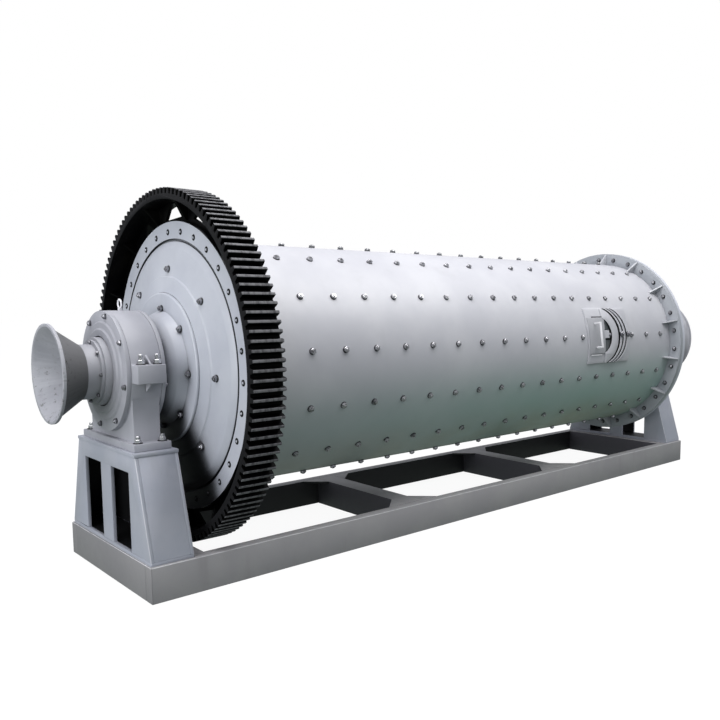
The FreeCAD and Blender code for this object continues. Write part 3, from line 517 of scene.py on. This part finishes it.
def softened(node, width, material):
    piece = bpy.data.objects.new(node + "_soft", nodes[node].data.copy())
    bpy.context.scene.collection.objects.link(piece)
    alone(piece)
    bpy.ops.mesh.customdata_custom_splitnormals_clear()
    bpy.ops.object.mode_set(mode="EDIT")
    bpy.ops.mesh.select_all(action="SELECT")
    bpy.ops.mesh.remove_doubles(threshold=0.00003)
    if "pedestal" not in node:
        bpy.ops.mesh.dissolve_limited(angle_limit=math.radians(0.3))
    leave()
    if width and "bearing" in node:
        # the edges on the split stay sharp, so the two halves read as one casting
        pick(piece, lambda edge: False, "EDGE")
        bpy.ops.mesh.edges_select_sharp(sharpness=math.radians(30))
        leave()
        points = piece.data.vertices
        sharp = {edge.index for edge in piece.data.edges if edge.select
                 and any(abs(points[point].co.z - axisHeight) > 0.0001 for point in edge.vertices)}
        pick(piece, lambda edge: edge.index in sharp, "EDGE")
        bpy.ops.mesh.bevel(offset=width, segments=2, affect="EDGES", clamp_overlap=True)
        leave()
    elif width:
        bevelled(piece, width)
    smooth(piece)
    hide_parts(node)
    return finish(piece, bodyOf[node], material)


# the width of a bevel and the paint, for each kind of CAD piece
softEdges = {"beam": (0.005, basePaint), "cross": (0.003, crossPaint), "pedestal": (0.003, pedestalPaint),
             "bearing": (0.006, housingPaint), "cover": (0.003, housingPaint),
             "funnel": (0.0015, funnelPaint),
             "neck_ring": (0.004, funnelPaint), "gear": (0.0022, gearBlack), "head": (0, headPaint),
             "trunnion": (0, trunnionPaint), "flange": (0.002, flangePaint), "ribs": (0.001, ribPaint),
             "shell": (0, drumPaint),
             "manhole": (0.0015, manholePaint), "handle": (0.003, handlePaint), "door": (0.002, doorPaint),
             "gussets": (0.002, basePaint), "eyes": (0.001, handlePaint)}


def softenAll():
    order = ["gussets", "cross", "cover", "bearing", "pedestal", "neck_ring", "funnel", "gear", "handle",
             "door", "manhole", "eyes", "trunnion", "head", "ribs", "flange", "shell", "beam"]
    for node in sorted(nodes):
        kind = next(word for word in order if word in node)
        width, material = softEdges[kind]
        softened(node, width, material)


softenAll()
print("castings and plates softened")


# nuts and bolts

def hexNut(name, size):
    # a washer painted dark as the shade round the nut, a chamfered nut and the end of its stud, standing up from z
    # = 0
    washer = addCylinder(name, size["washer"], size["washerThick"], 0, 14)
    pick(washer, lambda face: face.normal.z > 0.9)
    bpy.ops.mesh.bevel(offset=size["washerThick"] * 0.35, affect="EDGES")
    leave()
    nut = addCylinder(name + "Nut", size["nut"] / math.cos(math.pi / 6) / 2, size["nutThick"],
                      size["washerThick"], 6)
    top = size["washerThick"] + size["nutThick"]
    pick(nut, lambda face: face.normal.z > 0.9)
    bpy.ops.mesh.bevel(offset=size["nut"] * 0.08, affect="EDGES")
    leave()
    pick(nut, lambda face: face.normal.z > 0.9 and face.center.z > top - 0.0005)
    bpy.ops.mesh.inset(thickness=size["nut"] * 0.42 - size["stud"])
    bpy.ops.mesh.extrude_region_move(TRANSFORM_OT_translate={"value": (0, 0, size["studOut"])})
    bpy.ops.mesh.bevel(offset=size["stud"] * 0.25, affect="EDGES")
    leave()
    washer.data.materials.append(darkSteel)
    nut.data.materials.append(size.get("metal", boltSteel))
    return joined([washer, nut])


def nutRing(name, size, count, first, radius, x, facing, body="drum"):
    nut = settle(hexNut(name, size), onDrum(first, radius, x, facing))
    return finish(around(nut, count), body, None)


shellNuts = {"nut": 0.034, "nutThick": 0.014, "washer": 0.0215, "washerThick": 0.004, "stud": 0.0085,
             "studOut": 0.005, "metal": brightSteel, "rows": 14, "firstRow": 82.2, "inRow": 18,
             "pitch": 0.2415, "middle": -0.013, "radius": 0.764}


def addShellNuts():
    size = shellNuts
    start = size["middle"] - size["pitch"] * (size["inRow"] - 1) / 2
    nuts = settle(hexNut("shell_liner_nuts", size), onDrum(size["firstRow"], size["radius"] - 0.0008,
                                                           start, "out"))
    around(row(nuts, size["inRow"], (size["pitch"], 0, 0)), size["rows"])
    low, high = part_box("manhole_plate")
    pick(nuts, lambda face: low.x < face.center.x < high.x and face.center.y < 0
         and low.z + 0.1 < face.center.z < high.z - 0.1)
    bpy.ops.mesh.delete(type="FACE")
    leave()
    finish(nuts, "drum", None)


addShellNuts()

flangeBolts = {"nut": 0.030, "nutThick": 0.016, "washer": 0.021, "washerThick": 0.003, "stud": 0.009,
               "studOut": 0.006, "count": 30, "first": 9, "radius": 0.815, "feed": -2.310,
               "discharge": 2.290}
recess = {"radius": 0.0185, "thick": 0.0012, "wall": 0.0015, "stubRadius": 0.0075, "stubThick": 0.006}


def recessedBolt(name):
    # a bolt end in a counterbore painted black as shade, with a thin burr round it
    rim = addCylinder(name, recess["radius"], recess["thick"], 0, 20)
    pick(rim, lambda face: face.normal.z > 0.9)
    bpy.ops.mesh.inset(thickness=recess["wall"])
    bpy.ops.mesh.extrude_region_move(TRANSFORM_OT_translate={"value": (0, 0, -recess["thick"] * 0.8)})
    leave()
    stub = addCylinder(name + "Stub", recess["stubRadius"], recess["stubThick"], 0, 10)
    pick(stub, lambda face: face.normal.z > 0.9)
    bpy.ops.mesh.bevel(offset=recess["stubRadius"] * 0.3, affect="EDGES")
    leave()
    return rim, stub


def addFlangeBolts():
    size = flangeBolts
    for end, other in (("feed", "discharge"), ("discharge", "feed")):
        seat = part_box(end + "_shell_flange")
        place = onDrum(size["first"], size["radius"], size[end], end)
        rim, stub = recessedBolt(end + "_flange_recess")
        for piece, material in ((rim, gapShadeBlack), (stub, headPaint)):
            finish(around(settle(piece, place), size["count"]), "drum", material)
        stub.name = end + "_flange_bolt_ends"
        back = seat[1].x if end == "feed" else seat[0].x
        nutRing(end + "_flange_nuts", size, size["count"], size["first"], size["radius"], back, other)


addFlangeBolts()

headBolts = {"nut": 0.034, "nutThick": 0.014, "washer": 0.022, "washerThick": 0.004, "stud": 0.010,
             "studOut": 0.008, "count": 8, "first": 3, "radius": 0.590}
trunnionBolts = {"nut": 0.032, "nutThick": 0.014, "washer": 0.021, "washerThick": 0.004, "stud": 0.009,
                 "studOut": 0.008, "count": 8, "first": 3, "radius": 0.356}
coverBolts = {"nut": 0.026, "nutThick": 0.012, "washer": 0.017, "washerThick": 0.003, "stud": 0.008,
              "studOut": 0.004, "count": 8, "first": 13, "radius": 0.320}
neckBolts = {"nut": 0.018, "nutThick": 0.009, "washer": 0.0115, "washerThick": 0.002, "stud": 0.005,
             "studOut": 0.004, "count": 8, "first": 3, "radius": 0.168}


# distances along the drum's axis, each from its middle or, for the first two, from a head's seat
endPlaces = {"head": 0.0785, "trunnion": 0.125, "cover": 2.7475, "neck": 2.8165}


def addEndBolts():
    for end, other, sign, seat in (("feed", "discharge", -1, 2.270), ("discharge", "feed", 1, 2.250)):
        for name, size, x, body in (
                ("head_nuts", headBolts, seat + endPlaces["head"], "drum"),
                ("trunnion_nuts", trunnionBolts, seat + endPlaces["trunnion"], "drum"),
                ("cover_bolts", coverBolts, endPlaces["cover"], "frame"),
                ("neck_bolts", neckBolts, endPlaces["neck"], "drum")):
            nutRing(f"{end}_{name}", size, size["count"], size["first"], size["radius"], x * sign, end, body)
        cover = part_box(end + "_bearing_inner_cover")
        inner = cover[1].x if end == "feed" else cover[0].x
        nutRing(end + "_inner_cover_bolts", coverBolts, coverBolts["count"], coverBolts["first"],
                coverBolts["radius"], inner, other, "frame")


addEndBolts()

earStuds = {"nut": 0.036, "nutThick": 0.022, "washer": 0.026, "washerThick": 0.005, "stud": 0.0115,
            "studOut": 0.030, "apart": 0.046, "out": 0.379, "metal": lightSteel}
soleStuds = {**earStuds, "nut": 0.034, "nutThick": 0.018, "studOut": 0.018, "apart": 0.069, "out": 0.352}
earRib = {"thick": 0.012, "high": 0.052, "long": 0.062, "start": 0.338, "lap": 0.002, "drop": 0.86,
          "bevel": 0.002}
bearing = {"halfEar": 0.052, "sole": 0.043}


def wedge(name, low, high, side):
    # a triangular rib: a block whose outer top edge is pushed down
    rib = addBlock(name, low, high)
    middle = (low[1] + high[1]) / 2
    pick(rib, lambda point: (point.co.y - middle) * side > 0 and abs(point.co.z - high[2]) < 1e-4, "VERT")
    bpy.ops.transform.translate(value=(0, 0, (low[2] - high[2]) * earRib["drop"]))
    leave()
    return rib


def addBearingStuds():
    for end in ("feed", "discharge"):
        low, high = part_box(end + "_bearing_cap")
        middle = (low.x + high.x) / 2
        earTop, earFoot = axisHeight + bearing["halfEar"], axisHeight - bearing["halfEar"]
        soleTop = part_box(end + "_bearing_base")[0].z + bearing["sole"]
        first = hexNut(end + "_bearing_studs", earStuds)
        foot = hexNut(end + "_sole_studs", soleStuds)
        studs, feet, ribs = [], [], []
        for side in (-1, 1):
            for way in (-1, 1):
                place = (middle + way * earStuds["apart"], side * earStuds["out"], earTop)
                studs.append(twin(first, f"stud{side}{way}", Matrix.Translation(place)))
                place = (middle + way * soleStuds["apart"], side * soleStuds["out"], soleTop)
                feet.append(twin(foot, f"foot{side}{way}", Matrix.Translation(place)))
            inner, outer = side * earRib["start"], side * (earRib["start"] + earRib["long"])
            near, far = min(inner, outer), max(inner, outer)
            half, lap, high = earRib["thick"] / 2, earRib["lap"], earRib["high"]
            ribs.append(wedge(f"rib{side}", (middle - half, near, earTop - lap),
                              (middle + half, far, earTop + high), side))
            ribs.append(wedge(f"under{side}", (middle - half, near, earFoot + lap),
                              (middle + half, far, earFoot - high), side))
        bpy.data.objects.remove(first)
        bpy.data.objects.remove(foot)
        for pieces, name in ((studs, "ear_studs"), (feet, "foot_studs"), (ribs, "ear_ribs")):
            group = joined(pieces)
            group.name = group.data.name = f"{end}_{name}"
            if name == "ear_ribs":
                pick(group, lambda face: True)
                bpy.ops.mesh.normals_make_consistent(inside=False)
                leave()
                bevelled(group, earRib["bevel"], 1)
                finish(group, "frame", housingPaint)
            else:
                finish(group, "frame", None)


addBearingStuds()
print("nuts and bolts placed")


# the inside of the manhole, a painted shadow and a painted highlight at its door, and the bolts on its bars

level = manhole["floor"]
# name, two corners, bevel and material of each block, from the drum's axis towards the manhole
manholeBlocks = (
    ("manhole_latch", (1.118, -0.026, level - 0.002), (1.205, 0.040, level + 0.010), 0.003, drumPaint),
    ("manhole_latch_shade", (1.118, -0.040, level - 0.002), (1.222, -0.0265, level + 0.004), 0.001, gapShadeBlack),
    ("manhole_inner_plate", (1.118, 0.048, level - 0.002), (1.150, 0.142, level + 0.006), 0.002, doorPaint),
    # a black strip: painted shadow over the door's edge
    ("manhole_door_gap", (0.985, 0.1535, 0.752), (1.130, 0.1615, 0.7665), 0.001, gapShadeBlack),
    # a white strip: painted highlight on the door's edge
    ("manhole_door_step", (0.930, -0.166, 0.752), (1.080, -0.1575, 0.7650), 0.001, handlePaint))
barBolts = {"nut": 0.044, "nutThick": 0.014, "washer": 0.024, "washerThick": 0.004, "stud": 0.010,
            "studOut": 0.008}
latchBolt = {**coverBolts, "studOut": 0.008}
manholeBolts = ((1.362, 0.7915, barBolts), (1.459, 0.7915, barBolts), (1.207, 0.768, latchBolt))


def addManholeDetails():
    turned = Matrix.Translation((0, 0, axisHeight)) @ Matrix.Rotation(math.radians(manhole["turn"]), 4, "X")
    floor = addCylinder("manhole_floor", manhole["holeRadius"] - 0.001, 0.003, level - 0.003, 48)
    pick(floor, lambda face: face.normal.z > 0.9)
    bpy.ops.mesh.inset(thickness=0.012)
    bpy.ops.mesh.extrude_region_move(TRANSFORM_OT_translate={"value": (0, 0, -0.0012)})
    leave()
    finish(settle(floor, turned @ Matrix.Translation((manhole["hole"], 0, 0))), "drum", floorPaint)
    for name, low, high, width, material in manholeBlocks:
        bar = bevelled(addBlock(name, low, high), width, 1)
        finish(settle(bar, turned), "drum", material)
    for number, (x, radius, size) in enumerate(manholeBolts, 1):
        bolt = settle(hexNut(f"manhole_bolt_{number}", size), onDrum(manhole["turn"], radius, x, "out"))
        finish(bolt, "drum", None)


addManholeDetails()
print("manhole detailed")


# camera, lights and floor

view = {"place": (-4.34897, -4.44413, 1.57711), "turn": (84.0796, 0.1828, -42.9444),
        "lens": 37.974, "shift": (-0.09197, 0.03383)}


def addCamera():
    data = bpy.data.cameras.new("camera")
    data.lens, data.sensor_width = view["lens"], 36
    data.shift_x, data.shift_y = view["shift"]
    data.clip_end = 300
    camera = bpy.data.objects.new("camera", data)
    bpy.context.scene.collection.objects.link(camera)
    camera.location = view["place"]
    camera.rotation_euler = [math.radians(angle) for angle in view["turn"]]
    bpy.context.scene.camera = camera


addCamera()

softboxes = {
    "overhead": {"place": (-0.5, -1.5, 5.8), "aim": (0, 0, 1.6), "size": (9, 3.6), "power": 430,
                 "colour": (1, 0.99, 0.98)},
    "feedSide": {"place": (-9.0, -1.5, 2.2), "aim": (-2.6, 0, 1.0), "size": (4, 4), "power": 262,
                 "colour": (0.97, 0.98, 1)},
}


def addLights():
    for name, box in softboxes.items():
        data = bpy.data.lights.new(name, "AREA")
        data.shape, data.energy, data.color = "RECTANGLE", box["power"], box["colour"]
        data.size, data.size_y = box["size"]
        light = bpy.data.objects.new(name, data)
        bpy.context.scene.collection.objects.link(light)
        light.location = box["place"]
        aim = Vector(box["aim"]) - light.location
        light.rotation_euler = aim.to_track_quat("-Z", "Y").to_euler()


addLights()

room = {"stops": [(0.0, (0.14, 0.16, 0.145)), (0.38, (0.29, 0.345, 0.31)), (0.5, (0.35, 0.375, 0.39)),
                  (0.62, (0.56, 0.57, 0.61)), (1.0, (0.88, 0.88, 0.93))], "strength": 0.9}


def addRoom():
    world = bpy.data.worlds.new("studio")
    bpy.context.scene.world = world
    world.use_nodes = True
    tree = world.node_tree
    ground = tree.nodes["Background"]
    coordinates = tree.nodes.new("ShaderNodeTexCoord")
    apart = tree.nodes.new("ShaderNodeSeparateXYZ")
    scale = tree.nodes.new("ShaderNodeMapRange")
    ramp = tree.nodes.new("ShaderNodeValToRGB")
    scale.inputs["From Min"].default_value = -1
    stops = ramp.color_ramp.elements
    for index, (at, colour) in enumerate(room["stops"]):
        stop = stops[index] if index < 2 else stops.new(at)
        stop.position, stop.color = at, (*colour, 1)
    tree.links.new(coordinates.outputs["Generated"], apart.inputs[0])
    tree.links.new(apart.outputs["Z"], scale.inputs["Value"])
    tree.links.new(scale.outputs[0], ramp.inputs[0])
    tree.links.new(ramp.outputs[0], ground.inputs["Color"])
    ground.inputs["Strength"].default_value = room["strength"]


addRoom()


def glowing(name, strength, share):
    material = bpy.data.materials.new(name)
    material.use_nodes = True
    tree = material.node_tree
    tree.nodes.clear()
    glow = tree.nodes.new("ShaderNodeEmission")
    glow.inputs["Strength"].default_value = strength
    plain = tree.nodes.new("ShaderNodeBsdfDiffuse")
    plain.inputs["Color"].default_value = (0.85, 0.85, 0.85, 1)
    both = tree.nodes.new("ShaderNodeMixShader")
    both.inputs[0].default_value = share
    end = tree.nodes.new("ShaderNodeOutputMaterial")
    tree.links.new(glow.outputs[0], both.inputs[1])
    tree.links.new(plain.outputs[0], both.inputs[2])
    tree.links.new(both.outputs[0], end.inputs["Surface"])
    return material


def addFloor():
    bpy.ops.object.select_all(action="DESELECT")
    bpy.ops.mesh.primitive_plane_add(size=160, location=(0, 0, -0.0005))
    floor = newest("floor")
    floor.data.materials.append(glowing("palePaper", 1.06, 0.12))
    bpy.ops.object.select_all(action="DESELECT")
    bpy.ops.mesh.primitive_uv_sphere_add(segments=64, ring_count=32, radius=78, location=(0, 0, 0))
    backdrop = newest("backdrop")
    backdrop.data.materials.append(glowing("whiteBackdrop", 1.0, 0.0))
    for piece in (floor, backdrop):
        piece.visible_diffuse = piece.visible_glossy = piece.visible_transmission = False
    backdrop.visible_shadow = False


addFloor()
bpy.context.scene.view_settings.view_transform = "Standard"
print("camera, lights and floor set")
